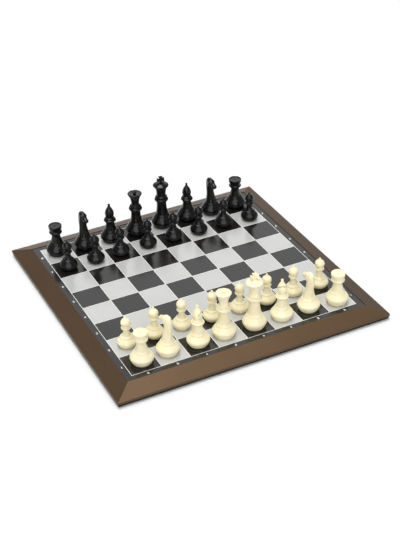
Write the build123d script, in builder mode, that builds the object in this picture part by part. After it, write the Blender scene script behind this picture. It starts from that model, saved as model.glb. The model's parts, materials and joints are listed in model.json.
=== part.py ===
"""Electronic chess computer: a thin sensing board with a mitred frame, and its 32 weighted chessmen.

Millimetres. +Z is up and the ground is Z = 0. White sits at -Y and Black at +Y, and the files a to h
run along +X. The origin is the centre of the board's footprint.
"""

import os
from math import atan2, cos, hypot, radians, sin

from build123d import *

# --- board ------------------------------------------------------------------------------------
SQUARE = 46.0  # side of one square
SQUARES = 8
GRID = SQUARE * SQUARES
BORDER = 10.4  # dark strip between the squares and the frame
RAIL_WIDTH = 27.1  # visible width of a frame rail, seen from above
OPENING = GRID / 2 + BORDER  # half the width of the frame's opening
OUTSIDE = OPENING + RAIL_WIDTH  # half the width of the whole board
LINE_WIDTH = 0.7  # silver line between dark squares

# --- heights above the ground -----------------------------------------------------------------
TRAY_Z = 2.0  # underside of the lower housing, which stands on the feet
TRAY_FLOOR = 1.8
RAIL_Z = 6.2  # joint between the lower housing and the frame
BEVEL_FOOT_Z = 9.3  # where the sloping face meets the frame's outer wall
SURFACE_Z = 18.0  # playing surface
LIP_Z = 18.9  # inner edge of the frame, a little proud of the playing surface
PANEL_THICKNESS = 2.0
BOARD_THICKNESS = 1.6  # circuit boards
FOIL_THICKNESS = 0.15
FLOOR_TOP_Z = TRAY_Z + TRAY_FLOOR
PANEL_Z = SURFACE_Z - PANEL_THICKNESS
SENSOR_Z = PANEL_Z - BOARD_THICKNESS
FOIL_Z = SURFACE_Z - FOIL_THICKNESS

# --- frame section ----------------------------------------------------------------------------
RAIL_WALL = 2.0
SHELF_DEPTH = 6.0  # ledge that carries the playing panel
SHELF_THICKNESS = 1.6
RAIL_WEB = 1.6  # flat underside of the rail
CHAMBER_WIDTH = 16.6  # hollow inside the rail
CORNER_RADIUS = 2.0  # the frame's four outer corners, seen from above
KEY_INNER = 197.0  # inner and outer faces of the L-shaped keys in the mitres
KEY_OUTER = 207.0
KEY_ARM = 40.0
KEY_HEIGHT = 4.2

# --- fixings ----------------------------------------------------------------------------------
SCREW_LINE = 205.0  # distance of the housing screws from the board's centre lines
SCREW_PITCH = 150.0
SCREW_RADIUS = 1.5
SCREW_HEAD_RADIUS = 2.9
FOOT_RADIUS = 7.0
FOOT_LINE = 190.0
POST_PITCH = 138.0  # posts that hold the sensor board up against the panel
POST_RADIUS = 3.0
TRAY_BOSS_RADIUS = 5.0

# --- electronics ------------------------------------------------------------------------------
MAIN_BOARD = (46.0, 145.0, 84.0, 70.0)  # centre x, centre y, length, width
MAIN_BOARD_Z = 6.0
BATTERY = (-46.0, 145.0, 80.0, 56.0)
BATTERY_THICKNESS = 5.5
SPEAKER_AT = (46.0, 46.0)
SPEAKER_RADIUS = 14.0
SPEAKER_THICKNESS = 5.0

# --- rear edge controls -----------------------------------------------------------------------
CONTROL_X = -60.0  # middle of the control board, between two housing screws
CONTROL_LENGTH = 84.0
CONTROL_DEPTH = 14.3
CONTROL_FLOOR_Z = 3.0  # the housing's floor is thinner under the control board
CONTROL_BOARD_THICKNESS = 1.0
TRAY_INSET = 1.2  # the lower housing stands back from the frame's outer wall
TRAY_WALL = 2.0
BUTTON_XS = {"power_button": -88.0, "new_game_button": -72.0}
BUTTON_WIDTH = 10.6
BUTTON_HEIGHT = 2.8
BUTTON_GAP = 0.2  # clearance around a button in its window
BUTTON_TRAVEL = 0.8
SOCKET_X = -36.0
SOCKET_WIDTH = 9.0
SOCKET_DEPTH = 7.5

WALL_OUTER_Y = OUTSIDE - TRAY_INSET
WALL_INNER_Y = WALL_OUTER_Y - TRAY_WALL
SOCKET_HEIGHT = RAIL_Z - CONTROL_FLOOR_Z
BUTTON_Z = (CONTROL_FLOOR_Z + RAIL_Z) / 2


def finish(builder, name):
    """Label a finished piece and write it."""
    builder.part.label = name
    export_step(builder.part, f"parts/{name}.step")


def plate(height, thickness, length, width, at=(0.0, 0.0)):
    """A flat plate with its underside at the given height."""
    with BuildPart() as made:
        with BuildSketch(Plane.XY.offset(height)):
            with Locations(at):
                Rectangle(length, width)
        extrude(amount=thickness)
    return made


os.makedirs("parts", exist_ok=True)


# --- frame ------------------------------------------------------------------------------------
def bevel_height(distance):
    """Height of the frame's sloping face at a distance from the board's centre."""
    return LIP_Z - (LIP_Z - BEVEL_FOOT_Z) * (distance - OPENING) / RAIL_WIDTH


def frame_rail(name, turn, has_controls=False):
    """One mitred rail. turn is the direction of its outer side, in degrees from +X."""
    out = Vector(cos(radians(turn)), sin(radians(turn)), 0)
    across = Plane(origin=(0, 0, 0), x_dir=out, z_dir=out.cross(Vector(0, 0, 1)))
    along_top = Plane(origin=(0, 0, 0), x_dir=out, z_dir=(0, 0, 1))
    shelf_inner = OPENING - SHELF_DEPTH
    wall_outer = OPENING + RAIL_WALL
    chamber_end = wall_outer + CHAMBER_WIDTH
    skin = RAIL_WALL * 1.06  # the sloping skin, measured upright
    with BuildPart() as rail:
        with BuildSketch(across):
            with BuildLine():
                Polyline(
                    (OPENING, LIP_Z),
                    (OUTSIDE, BEVEL_FOOT_Z),
                    (OUTSIDE, RAIL_Z),
                    (OPENING, RAIL_Z),
                    (OPENING, PANEL_Z - SHELF_THICKNESS),
                    (shelf_inner, PANEL_Z - SHELF_THICKNESS),
                    (shelf_inner, PANEL_Z),
                    (OPENING, PANEL_Z),
                    close=True,
                )
            make_face()
            with BuildLine():
                Polyline(
                    (wall_outer, RAIL_Z + RAIL_WEB),
                    (chamber_end, RAIL_Z + RAIL_WEB),
                    (chamber_end, bevel_height(chamber_end) - skin),
                    (wall_outer, bevel_height(wall_outer) - skin),
                    close=True,
                )
            make_face(mode=Mode.SUBTRACT)
        extrude(amount=OUTSIDE, both=True)
        lengthwise = rail.edges().filter_by(Axis((0, 0, 0), across.z_dir))
        chamfer(lengthwise.group_by(Axis.Z)[-1], 0.3)
        lengthwise = rail.edges().filter_by(Axis((0, 0, 0), across.z_dir))
        fillet(lengthwise.filter_by_position(Axis.Z, BEVEL_FOOT_Z - 0.1, BEVEL_FOOT_Z + 0.1), 0.5)
        with BuildSketch(along_top):
            with BuildLine():
                Polyline((0, 0), (OUTSIDE, -OUTSIDE), (OUTSIDE, OUTSIDE), close=True)
            make_face()
        extrude(amount=LIP_Z + 1, mode=Mode.INTERSECT)
        with BuildSketch(Plane.XY):
            RectangleRounded(2 * OUTSIDE, 2 * OUTSIDE, CORNER_RADIUS)
        extrude(amount=LIP_Z + 1, mode=Mode.INTERSECT)
        with BuildSketch(along_top.offset(RAIL_Z)):
            with Locations((SCREW_LINE, 0)):
                with GridLocations(0, SCREW_PITCH, 1, 3):
                    Circle(SCREW_RADIUS + 0.05)
        extrude(amount=RAIL_WEB, mode=Mode.SUBTRACT)
        if has_controls:
            depth = CONTROL_DEPTH + 0.2
            with BuildSketch(along_top.offset(RAIL_Z)):
                with Locations((WALL_INNER_Y - depth / 2, -CONTROL_X)):
                    Rectangle(depth, CONTROL_LENGTH + 0.4)
            extrude(amount=CONTROL_BOARD_THICKNESS + 0.2, mode=Mode.SUBTRACT)
    finish(rail, name)


frame_rail("frame_rail_right", 0)
frame_rail("frame_rail_rear", 90, has_controls=True)
frame_rail("frame_rail_left", 180)
frame_rail("frame_rail_front", 270)

with BuildPart() as corner_keys:
    with BuildSketch(Plane.XY.offset(RAIL_Z + RAIL_WEB)):
        Rectangle(2 * KEY_OUTER, 2 * KEY_OUTER)
        Rectangle(2 * KEY_INNER, 2 * KEY_INNER, mode=Mode.SUBTRACT)
        Rectangle(2 * (KEY_OUTER - KEY_ARM), 2 * OUTSIDE, mode=Mode.SUBTRACT)
        Rectangle(2 * OUTSIDE, 2 * (KEY_OUTER - KEY_ARM), mode=Mode.SUBTRACT)
    extrude(amount=KEY_HEIGHT)
finish(corner_keys, "frame_corner_keys")


# --- playing panel ----------------------------------------------------------------------------
def foil_sketch():
    """The silver layer's outline: light squares joined by thin lines, open at the dark squares."""
    with BuildSketch(Plane.XY.offset(FOIL_Z)) as layer:
        Rectangle(GRID + LINE_WIDTH, GRID + LINE_WIDTH)
        for first in (0, 1):
            shift = (first - 0.5) * SQUARE
            with Locations((shift, shift)):
                with GridLocations(2 * SQUARE, 2 * SQUARE, SQUARES // 2, SQUARES // 2):
                    Rectangle(SQUARE - LINE_WIDTH, SQUARE - LINE_WIDTH, mode=Mode.SUBTRACT)
    return layer.sketch


PANEL_SIDE = 2 * OPENING - 0.6

with BuildPart() as silver_squares:
    add(foil_sketch())
    extrude(amount=FOIL_THICKNESS)
finish(silver_squares, "silver_squares")

with BuildPart() as playing_panel:
    with BuildSketch(Plane.XY.offset(PANEL_Z)):
        Rectangle(PANEL_SIDE, PANEL_SIDE)
    extrude(amount=PANEL_THICKNESS)
    add(foil_sketch())
    extrude(amount=FOIL_THICKNESS, mode=Mode.SUBTRACT)
finish(playing_panel, "playing_panel")

sensor_board = plate(SENSOR_Z, BOARD_THICKNESS, GRID + 4, GRID + 4)
finish(sensor_board, "sensor_board")

SENSOR_RADIUS = 1.1
SENSOR_LENGTH = 13.0

with BuildPart() as square_sensors:
    with Locations((0, 0, SENSOR_Z - SENSOR_RADIUS)):
        with GridLocations(SQUARE, SQUARE, SQUARES, SQUARES):
            Cylinder(SENSOR_RADIUS, SENSOR_LENGTH, rotation=(0, 90, 0))
finish(square_sensors, "square_sensors")


# --- lower housing ----------------------------------------------------------------------------
def screw_places():
    """Centres of the housing screws, three under each rail."""
    steps = (-SCREW_PITCH, 0, SCREW_PITCH)
    sides = (-SCREW_LINE, SCREW_LINE)
    return [(x, y) for x in steps for y in sides] + [(x, y) for x in sides for y in steps]


def board_hole_places():
    """Centres of the main board's four screws."""
    x, y, length, width = MAIN_BOARD
    return [(x + i * (length / 2 - 5), y + j * (width / 2 - 5)) for i in (-1, 1) for j in (-1, 1)]


SCREW_SEAT_Z = 4.0  # the screw heads bear here, inside the bosses
SCREW_HEAD_HEIGHT = 1.7
SCREW_TIP_Z = 10.5
FOOT_RECESS = 0.8
SLOT_PITCH = 4.0
BOARD_SCREW_RADIUS = 1.0
control_y = WALL_INNER_Y - CONTROL_DEPTH / 2

with BuildPart() as base_tray:
    with BuildSketch(Plane.XY.offset(TRAY_Z)):
        RectangleRounded(2 * WALL_OUTER_Y, 2 * WALL_OUTER_Y, CORNER_RADIUS)
    extrude(amount=RAIL_Z - TRAY_Z)
    with BuildSketch(Plane.XY.offset(FLOOR_TOP_Z)):
        Rectangle(2 * WALL_INNER_Y, 2 * WALL_INNER_Y)
        with Locations(screw_places()):
            Circle(TRAY_BOSS_RADIUS, mode=Mode.SUBTRACT)
    extrude(amount=RAIL_Z - FLOOR_TOP_Z, mode=Mode.SUBTRACT)
    with BuildSketch(Plane.XY.offset(FLOOR_TOP_Z)):
        with GridLocations(POST_PITCH, POST_PITCH, 3, 3):
            Circle(POST_RADIUS)
    extrude(amount=SENSOR_Z - FLOOR_TOP_Z)
    with BuildSketch(Plane.XY.offset(FLOOR_TOP_Z)):
        with Locations(board_hole_places()):
            Circle(2.5)
    extrude(amount=MAIN_BOARD_Z - FLOOR_TOP_Z)
    with BuildSketch(Plane.XY.offset(FLOOR_TOP_Z)):
        with Locations(board_hole_places()):
            Circle(BOARD_SCREW_RADIUS + 0.05)
    extrude(amount=MAIN_BOARD_Z - FLOOR_TOP_Z, mode=Mode.SUBTRACT)
    with BuildSketch(Plane.XY.offset(CONTROL_FLOOR_Z)):
        with Locations((CONTROL_X, control_y)):
            Rectangle(CONTROL_LENGTH, CONTROL_DEPTH)
    extrude(amount=RAIL_Z - CONTROL_FLOOR_Z, mode=Mode.SUBTRACT)
    with BuildSketch(Plane.XY.offset(CONTROL_FLOOR_Z)):
        with Locations(*[(x, OUTSIDE - TRAY_WALL) for x in BUTTON_XS.values()]):
            Rectangle(BUTTON_WIDTH + 2 * BUTTON_GAP, 2 * TRAY_WALL)
        with Locations((SOCKET_X, OUTSIDE - TRAY_WALL)):
            Rectangle(SOCKET_WIDTH + 2 * BUTTON_GAP, 2 * TRAY_WALL)
    extrude(amount=RAIL_Z - CONTROL_FLOOR_Z, mode=Mode.SUBTRACT)
    with BuildSketch(Plane.XY.offset(TRAY_Z)):
        with Locations(screw_places()):
            Circle(SCREW_HEAD_RADIUS + 0.3)
    extrude(amount=SCREW_SEAT_Z - TRAY_Z, mode=Mode.SUBTRACT)
    with BuildSketch(Plane.XY.offset(TRAY_Z)):
        with Locations(screw_places()):
            Circle(SCREW_RADIUS + 0.2)
    extrude(amount=RAIL_Z - TRAY_Z, mode=Mode.SUBTRACT)
    with BuildSketch(Plane.XY.offset(TRAY_Z)):
        with GridLocations(2 * FOOT_LINE, 2 * FOOT_LINE, 2, 2):
            Circle(FOOT_RADIUS)
        Circle(FOOT_RADIUS)
    extrude(amount=FOOT_RECESS, mode=Mode.SUBTRACT)
    with BuildSketch(Plane.XY.offset(TRAY_Z)):
        with Locations(SPEAKER_AT):
            with GridLocations(0, SLOT_PITCH, 1, 5):
                SlotOverall(16, 1.5)
    extrude(amount=TRAY_FLOOR, mode=Mode.SUBTRACT)
finish(base_tray, "base_tray")

with BuildPart() as rubber_feet:
    with BuildSketch(Plane.XY):
        with GridLocations(2 * FOOT_LINE, 2 * FOOT_LINE, 2, 2):
            Circle(FOOT_RADIUS)
        Circle(FOOT_RADIUS)
    extrude(amount=TRAY_Z + FOOT_RECESS)
    chamfer(rubber_feet.edges().group_by(Axis.Z)[0], 0.5)
finish(rubber_feet, "rubber_feet")

with BuildPart() as housing_screws:
    with BuildSketch(Plane.XY.offset(SCREW_SEAT_Z - SCREW_HEAD_HEIGHT)):
        with Locations(screw_places()):
            Circle(SCREW_HEAD_RADIUS)
    extrude(amount=SCREW_HEAD_HEIGHT)
    chamfer(housing_screws.edges().group_by(Axis.Z)[0], 0.4)
    with BuildSketch(Plane.XY.offset(SCREW_SEAT_Z)):
        with Locations(screw_places()):
            Circle(SCREW_RADIUS)
    extrude(amount=SCREW_TIP_Z - SCREW_SEAT_Z)
    with BuildSketch(Plane.XY.offset(SCREW_SEAT_Z - SCREW_HEAD_HEIGHT)):
        with Locations(screw_places()):
            Rectangle(3.2, 0.7)
            Rectangle(0.7, 3.2)
    extrude(amount=1.0, mode=Mode.SUBTRACT)
finish(housing_screws, "housing_screws")

# --- main board and what it drives ------------------------------------------------------------
MAIN_TOP_Z = MAIN_BOARD_Z + BOARD_THICKNESS
board_x, board_y, board_length, board_width = MAIN_BOARD
board_front_y = board_y - board_width / 2

with BuildPart() as main_board:
    with BuildSketch(Plane.XY.offset(MAIN_BOARD_Z)):
        with Locations((board_x, board_y)):
            Rectangle(board_length, board_width)
        with Locations(board_hole_places()):
            Circle(BOARD_SCREW_RADIUS + 0.2, mode=Mode.SUBTRACT)
    extrude(amount=BOARD_THICKNESS)
finish(main_board, "main_board")

# the processor, its memory and two driver chips, then the quartz can
CHIPS = (
    (0, 4, 16, 16, 1.4),
    (-24, 6, 12, 18, 1.2),
    (22, 10, 10, 7, 1.5),
    (22, -6, 10, 7, 1.5),
    (0, 22, 11, 4.5, 3.0),
)

with BuildPart() as main_board_chips:
    for x, y, length, width, height in CHIPS:
        with BuildSketch(Plane.XY.offset(MAIN_TOP_Z)):
            with Locations((board_x + x, board_y + y)):
                Rectangle(length, width)
        extrude(amount=height)
finish(main_board_chips, "main_board_chips")

with BuildPart() as board_screws:
    with BuildSketch(Plane.XY.offset(FLOOR_TOP_Z + 0.2)):
        with Locations(board_hole_places()):
            Circle(BOARD_SCREW_RADIUS)
    extrude(amount=MAIN_TOP_Z - FLOOR_TOP_Z - 0.2)
    with BuildSketch(Plane.XY.offset(MAIN_TOP_Z)):
        with Locations(board_hole_places()):
            Circle(2 * BOARD_SCREW_RADIUS)
    extrude(amount=1.4)
    fillet(board_screws.edges().group_by(Axis.Z)[-1], 0.5)
finish(board_screws, "main_board_screws")

# The flat cable leaves the connector on the main board, turns back in a half circle and enters
# the connector on the underside of the sensor board, straight above the first one.
CONNECTOR = (22.0, 4.5, 2.5)
CABLE_WIDTH = 18.0
CABLE_THICKNESS = 0.3
connector_y = board_front_y + 6
cable_low_z = MAIN_TOP_Z + CONNECTOR[2] / 2
cable_high_z = SENSOR_Z - CONNECTOR[2] / 2
bend_y = connector_y - 12
bend_radius = (cable_high_z - cable_low_z) / 2

with BuildPart() as flat_cable_connectors:
    for height in (MAIN_TOP_Z, SENSOR_Z - CONNECTOR[2]):
        with BuildSketch(Plane.XY.offset(height)):
            with Locations((board_x, connector_y)):
                Rectangle(CONNECTOR[0], CONNECTOR[1])
        extrude(amount=CONNECTOR[2])
finish(flat_cable_connectors, "flat_cable_connectors")

with BuildPart() as sensor_flat_cable:
    with BuildSketch(Plane.YZ.offset(board_x - CABLE_WIDTH / 2)):
        with Locations((bend_y, (cable_low_z + cable_high_z) / 2)):
            Circle(bend_radius + CABLE_THICKNESS / 2)
            Circle(bend_radius - CABLE_THICKNESS / 2, mode=Mode.SUBTRACT)
            Rectangle(20, 20, align=(Align.MIN, Align.CENTER), mode=Mode.SUBTRACT)
        run = connector_y - CONNECTOR[1] / 2 - bend_y
        with Locations((bend_y + run / 2, cable_low_z), (bend_y + run / 2, cable_high_z)):
            Rectangle(run, CABLE_THICKNESS)
    extrude(amount=CABLE_WIDTH)
finish(sensor_flat_cable, "sensor_flat_cable")

battery_x, battery_y, battery_length, battery_width = BATTERY
with BuildPart() as battery_pack:
    with BuildSketch(Plane.XY.offset(FLOOR_TOP_Z)):
        with Locations((battery_x, battery_y)):
            RectangleRounded(battery_length, battery_width, 3)
    extrude(amount=BATTERY_THICKNESS)
    chamfer(battery_pack.edges().group_by(Axis.Z)[-1], 0.6)
finish(battery_pack, "battery_pack")

# A strap over the pack, with a foot at each end glued to the housing floor.
STRAP_WIDTH = 14.0
STRAP_THICKNESS = 1.0
strap_half = battery_width / 2 + 0.2
strap_top_z = FLOOR_TOP_Z + BATTERY_THICKNESS + STRAP_THICKNESS
with BuildPart() as battery_strap:
    with BuildSketch(Plane.YZ.offset(battery_x - STRAP_WIDTH / 2)):
        with BuildLine():
            Polyline(
                (battery_y - strap_half - 8, FLOOR_TOP_Z),
                (battery_y - strap_half, FLOOR_TOP_Z),
                (battery_y - strap_half, strap_top_z - STRAP_THICKNESS),
                (battery_y + strap_half, strap_top_z - STRAP_THICKNESS),
                (battery_y + strap_half, FLOOR_TOP_Z),
                (battery_y + strap_half + 8, FLOOR_TOP_Z),
                (battery_y + strap_half + 8, FLOOR_TOP_Z + STRAP_THICKNESS),
                (battery_y + strap_half + STRAP_THICKNESS, FLOOR_TOP_Z + STRAP_THICKNESS),
                (battery_y + strap_half + STRAP_THICKNESS, strap_top_z),
                (battery_y - strap_half - STRAP_THICKNESS, strap_top_z),
                (battery_y - strap_half - STRAP_THICKNESS, FLOOR_TOP_Z + STRAP_THICKNESS),
                (battery_y - strap_half - 8, FLOOR_TOP_Z + STRAP_THICKNESS),
                close=True,
            )
        make_face()
    extrude(amount=STRAP_WIDTH)
finish(battery_strap, "battery_strap")

with BuildPart() as speaker:
    with BuildSketch(Plane.XY.offset(FLOOR_TOP_Z)):
        with Locations(SPEAKER_AT):
            Circle(SPEAKER_RADIUS)
            Circle(SPEAKER_RADIUS - 2, mode=Mode.SUBTRACT)
    extrude(amount=1.2)
    with BuildSketch(Plane.XY.offset(FLOOR_TOP_Z + 1.2)):
        with Locations(SPEAKER_AT):
            Circle(SPEAKER_RADIUS)
    extrude(amount=1.0)
    with BuildSketch(Plane.XY.offset(FLOOR_TOP_Z + 2.2)):
        with Locations(SPEAKER_AT):
            Circle(SPEAKER_RADIUS * 0.55)
    extrude(amount=SPEAKER_THICKNESS - 2.2)
finish(speaker, "speaker")

# Two-core leads: battery to main board, and main board to speaker.
LEAD_RADIUS = 0.9
lead_z = MAIN_TOP_Z + LEAD_RADIUS
lead_drop_z = FLOOR_TOP_Z + 3.5
speaker_x, speaker_y = SPEAKER_AT
battery_right = battery_x + battery_length / 2
board_left = board_x - board_length / 2
lead_routes = (
    (
        (battery_right, board_y - 14, lead_drop_z),
        (battery_right + 3, board_y - 14, lead_drop_z),
        (board_left - 3, board_y - 18, lead_z),
        (board_left + 8, board_y - 18, lead_z),
    ),
    (
        (speaker_x + 20, board_front_y + 8, lead_z),
        (speaker_x + 20, board_front_y - 14, lead_z),
        (speaker_x + 11, speaker_y + 30, lead_drop_z),
        (speaker_x + 11, speaker_y + 9, lead_drop_z),
    ),
)
with BuildPart() as hook_up_leads:
    for route, bend in zip(lead_routes, (1.2, 8)):
        with BuildLine() as path:
            FilletPolyline(*route, radius=bend)
        start = path.line @ 0
        with BuildSketch(Plane(origin=start, z_dir=path.line % 0)):
            Circle(LEAD_RADIUS)
        sweep(path=path.line)
finish(hook_up_leads, "hook_up_leads")

# --- rear edge controls -----------------------------------------------------------------------
control_board = plate(RAIL_Z, CONTROL_BOARD_THICKNESS, CONTROL_LENGTH, CONTROL_DEPTH, (CONTROL_X, control_y))
finish(control_board, "control_board")

SWITCH_DEPTH = 4.0
SWITCH_WIDTH = 6.0
FLANGE_THICKNESS = 1.0
flange_y = WALL_INNER_Y - 0.05
switch_tip_y = flange_y - FLANGE_THICKNESS - BUTTON_TRAVEL - 0.1

with BuildPart() as button_switches:
    for x in BUTTON_XS.values():
        with BuildSketch(Plane.XY.offset(CONTROL_FLOOR_Z + 0.2)):
            with Locations((x, switch_tip_y - 1 - SWITCH_DEPTH / 2)):
                Rectangle(SWITCH_WIDTH, SWITCH_DEPTH)
        extrude(amount=SOCKET_HEIGHT - 0.2)
        with BuildSketch(Plane.XZ.offset(1 - switch_tip_y)):
            with Locations((x, BUTTON_Z)):
                Circle(1.2)
        extrude(amount=-1.0)
finish(button_switches, "button_switches")

with BuildPart() as charging_socket:
    with BuildSketch(Plane.XZ.offset(-WALL_OUTER_Y)):
        with Locations((SOCKET_X, BUTTON_Z)):
            SlotOverall(SOCKET_WIDTH, SOCKET_HEIGHT)
            SlotOverall(SOCKET_WIDTH - 0.6, SOCKET_HEIGHT - 0.6, mode=Mode.SUBTRACT)
    extrude(amount=SOCKET_DEPTH)
    with BuildSketch(Plane.XZ.offset(-WALL_OUTER_Y + SOCKET_DEPTH - 1)):
        with Locations((SOCKET_X, BUTTON_Z)):
            SlotOverall(SOCKET_WIDTH - 0.6, SOCKET_HEIGHT - 0.6)
    extrude(amount=1.0)
    with BuildSketch(Plane.XZ.offset(-WALL_OUTER_Y + 1)):
        with Locations((SOCKET_X, BUTTON_Z)):
            Rectangle(SOCKET_WIDTH - 2.4, 0.7)
    extrude(amount=SOCKET_DEPTH - 1.5)
finish(charging_socket, "charging_socket")


def edge_button(name, x):
    """A push button in the rear wall, kept in by a flange behind the wall."""
    with BuildPart() as button:
        with BuildSketch(Plane.XZ.offset(-OUTSIDE)):
            with Locations((x, BUTTON_Z)):
                RectangleRounded(BUTTON_WIDTH, BUTTON_HEIGHT, 1.0)
        extrude(amount=OUTSIDE - flange_y)
        fillet(button.edges().group_by(Axis.Y)[-1], 0.3)
        with BuildSketch(Plane.XZ.offset(-flange_y)):
            with Locations((x, BUTTON_Z)):
                Rectangle(BUTTON_WIDTH + 3, BUTTON_HEIGHT)
        extrude(amount=FLANGE_THICKNESS)
    finish(button, name)


for button_name, button_x in BUTTON_XS.items():
    edge_button(button_name, button_x)


# --- chessmen ---------------------------------------------------------------------------------
# A turned outline runs up the right-hand side of the piece. Each row is a radius, a height above
# the playing surface, and how far the stretch that leads there bulges out from a straight line.
# A stretch marked BALL is round about a point on the piece's axis.
BALL = "ball"
GROOVE = 0.35  # the separate cap under each body is bevelled by this at their joint
CAP_STEP = 0.9  # how far the cap stands back from the body above it

KING_OUTLINE = (
    (15.4, 3.6, 0),
    (18.0, 8.4, 0.9),
    (16.2, 13.6, 0.5),
    (12.0, 20.2, -0.2),
    (11.6, 20.8, 0),
    (11.7, 22.0, 0.3),
    (10.6, 23.4, 0.2),
    (10.0, 25.0, -0.2),
    (7.9, 42.0, -0.5),
    (8.3, 45.6, 0),
    (10.5, 48.6, -0.4),
    (10.5, 52.4, 0.9),
    (8.8, 53.4, 0),
    (9.5, 56.4, 0.7),
    (7.8, 57.8, 0),
    (7.9, 63.0, -0.3),
    (12.5, 75.6, -1.2),
    (12.5, 77.4, 0.5),
    (11.2, 78.2, 0.1),
    (3.4, 81.2, 0.2),
    (0, 81.6, 0),
)
QUEEN_OUTLINE = (
    (15.2, 3.6, 0),
    (17.7, 8.2, 0.9),
    (15.9, 13.0, 0.5),
    (11.8, 19.2, -0.2),
    (11.4, 19.8, 0),
    (11.5, 21.0, 0.3),
    (10.4, 22.4, 0.2),
    (9.8, 24.0, -0.2),
    (7.8, 39.0, -0.5),
    (8.0, 42.6, 0),
    (10.2, 45.4, -0.4),
    (10.2, 48.8, 0.8),
    (8.5, 49.8, 0),
    (9.1, 52.4, 0.6),
    (7.2, 53.6, 0),
    (6.5, 59.0, -0.3),
    (11.4, 73.2, -0.8),
    (11.4, 74.9, 0.3),
    (9.9, 75.3, 0),
    (1.7, 74.5, -0.3),
    (0, 79.0, BALL),
)
BISHOP_OUTLINE = (
    (14.6, 3.6, 0),
    (17.1, 7.8, 0.9),
    (15.2, 12.4, 0.5),
    (11.2, 18.0, -0.2),
    (10.8, 18.6, 0),
    (10.9, 19.8, 0.3),
    (9.8, 21.0, 0.2),
    (9.2, 22.4, -0.2),
    (6.7, 32.6, -0.3),
    (7.1, 34.8, 0),
    (9.1, 36.8, -0.3),
    (9.1, 39.8, 0.8),
    (7.5, 40.6, 0),
    (7.8, 42.6, 0.5),
    (6.0, 43.6, 0),
    (5.8, 44.6, 0),
    (7.4, 51.0, 0.5),
    (4.9, 58.6, 0.4),
    (1.6, 64.6, -0.2),
    (0, 68.0, BALL),
)
ROOK_OUTLINE = (
    (14.8, 3.6, 0),
    (17.4, 8.0, 0.9),
    (15.4, 12.8, 0.5),
    (11.2, 18.8, -0.2),
    (10.8, 19.4, 0),
    (10.9, 20.6, 0.3),
    (9.8, 21.8, 0.2),
    (9.3, 23.2, -0.2),
    (6.7, 33.5, -0.3),
    (6.9, 35.4, 0),
    (9.9, 38.8, -0.4),
    (9.9, 41.4, 0.5),
    (9.0, 42.2, 0),
    (9.0, 45.2, 0),
    (10.4, 47.0, -0.2),
    (10.6, 51.5, 0),
    (10.1, 52.0, 0.1),
    (9.1, 52.0, 0),
    (8.8, 50.9, 0),
    (1.4, 50.9, 0),
    (1.2, 49.2, 0),
    (0, 49.0, 0),
)
PAWN_OUTLINE = (
    (12.1, 2.8, 0),
    (14.4, 6.4, 0.6),
    (12.6, 10.6, 0.4),
    (9.4, 14.6, -0.2),
    (9.1, 15.1, 0),
    (9.2, 16.1, 0.25),
    (8.0, 17.2, 0.2),
    (7.2, 18.4, -0.2),
    (4.4, 26.5, -0.4),
    (4.6, 28.2, 0),
    (6.7, 29.8, -0.2),
    (6.7, 31.8, 0.5),
    (5.0, 32.6, 0),
    (4.6, 33.68, 0),
    (2.9, 46.21, BALL),
    (1.7, 48.2, -0.2),
    (0, 50.2, BALL),
)
KNIGHT_OUTLINE = (
    (14.8, 3.6, 0),
    (17.3, 8.0, 0.9),
    (15.3, 12.8, 0.5),
    (11.4, 18.6, -0.2),
    (11.0, 19.2, 0),
    (11.1, 20.4, 0.3),
    (10.4, 21.4, 0.1),
    (10.1, 22.0, 0),
    (0, 22.4, 0),
)

# The knight's head in side view: distance in front of the axis, and height.
KNIGHT_NECK = ((-9.8, 21.0), (9.4, 21.0))
KNIGHT_CHEST = ((7.4, 28.0), (5.4, 35.0), (4.2, 42.0))
KNIGHT_JAW = ((7.0, 46.6), (10.6, 46.0), (13.6, 46.4))
KNIGHT_FACE = ((15.6, 49.6), (14.4, 53.4), (9.6, 57.6), (4.4, 61.4), (0.6, 64.2))
KNIGHT_EAR = ((-2.0, 65.4), (-4.6, 65.8), (-6.4, 63.8))
KNIGHT_MANE = ((-9.4, 59.0), (-9.6, 50.0), (-9.0, 40.0), (-9.4, 30.0))
KNIGHT_WIDTHS = ((9.8, 21.0), (8.0, 28.0), (6.2, 38.0), (5.8, 46.0), (5.8, 56.0), (3.6, 65.8))
KNIGHT_REACH = 12.0  # more than the head's largest half width

CROSS_Z = 86.0
CROSS_ARM = 6.2
CROSS_ARM_WIDTH = 7.2
CROSS_TAPER = 65  # angle between an arm's sides and its end
CROSS_THICKNESS = 4.4
SLIT = ((0.8, 51.5), (9.0, 61.0), (9.0, 62.8), (0.8, 53.3))  # cut in the mitre, across and up
SCALLOPS = 9
SCALLOP_CIRCLE = 12.4
SCALLOP_RADIUS = 2.0
SCALLOP_Z = 75.6

# How the players left the men: sideways and forward shifts, and the way slits and crosses point.
NUDGES = {
    "white_rook_a": (3.0, -0.6),
    "white_knight_b": (-1.6, 1.5),
    "white_queen": (-3.6, 0.8),
    "white_rook_h": (0.8, -4.8),
    "white_pawn_b": (-1.4, 2.0),
    "white_pawn_c": (-2.6, 2.6),
    "black_rook_a": (-0.2, 4.4),
    "black_king": (1.6, 1.6),
    "black_bishop_f": (2.0, 1.6),
    "black_pawn_b": (-0.4, -2.0),
    "black_pawn_c": (-2.2, -0.4),
    "black_pawn_f": (-1.0, -2.0),
    "black_pawn_h": (0.9, -3.4),
}
TURNS = {
    "white_bishop_c": -25.0,
    "white_bishop_f": -115.0,
    "black_bishop_c": 65.0,
    "black_bishop_f": 155.0,
    "white_king": -8.0,
    "black_king": -8.0,
}

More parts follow.
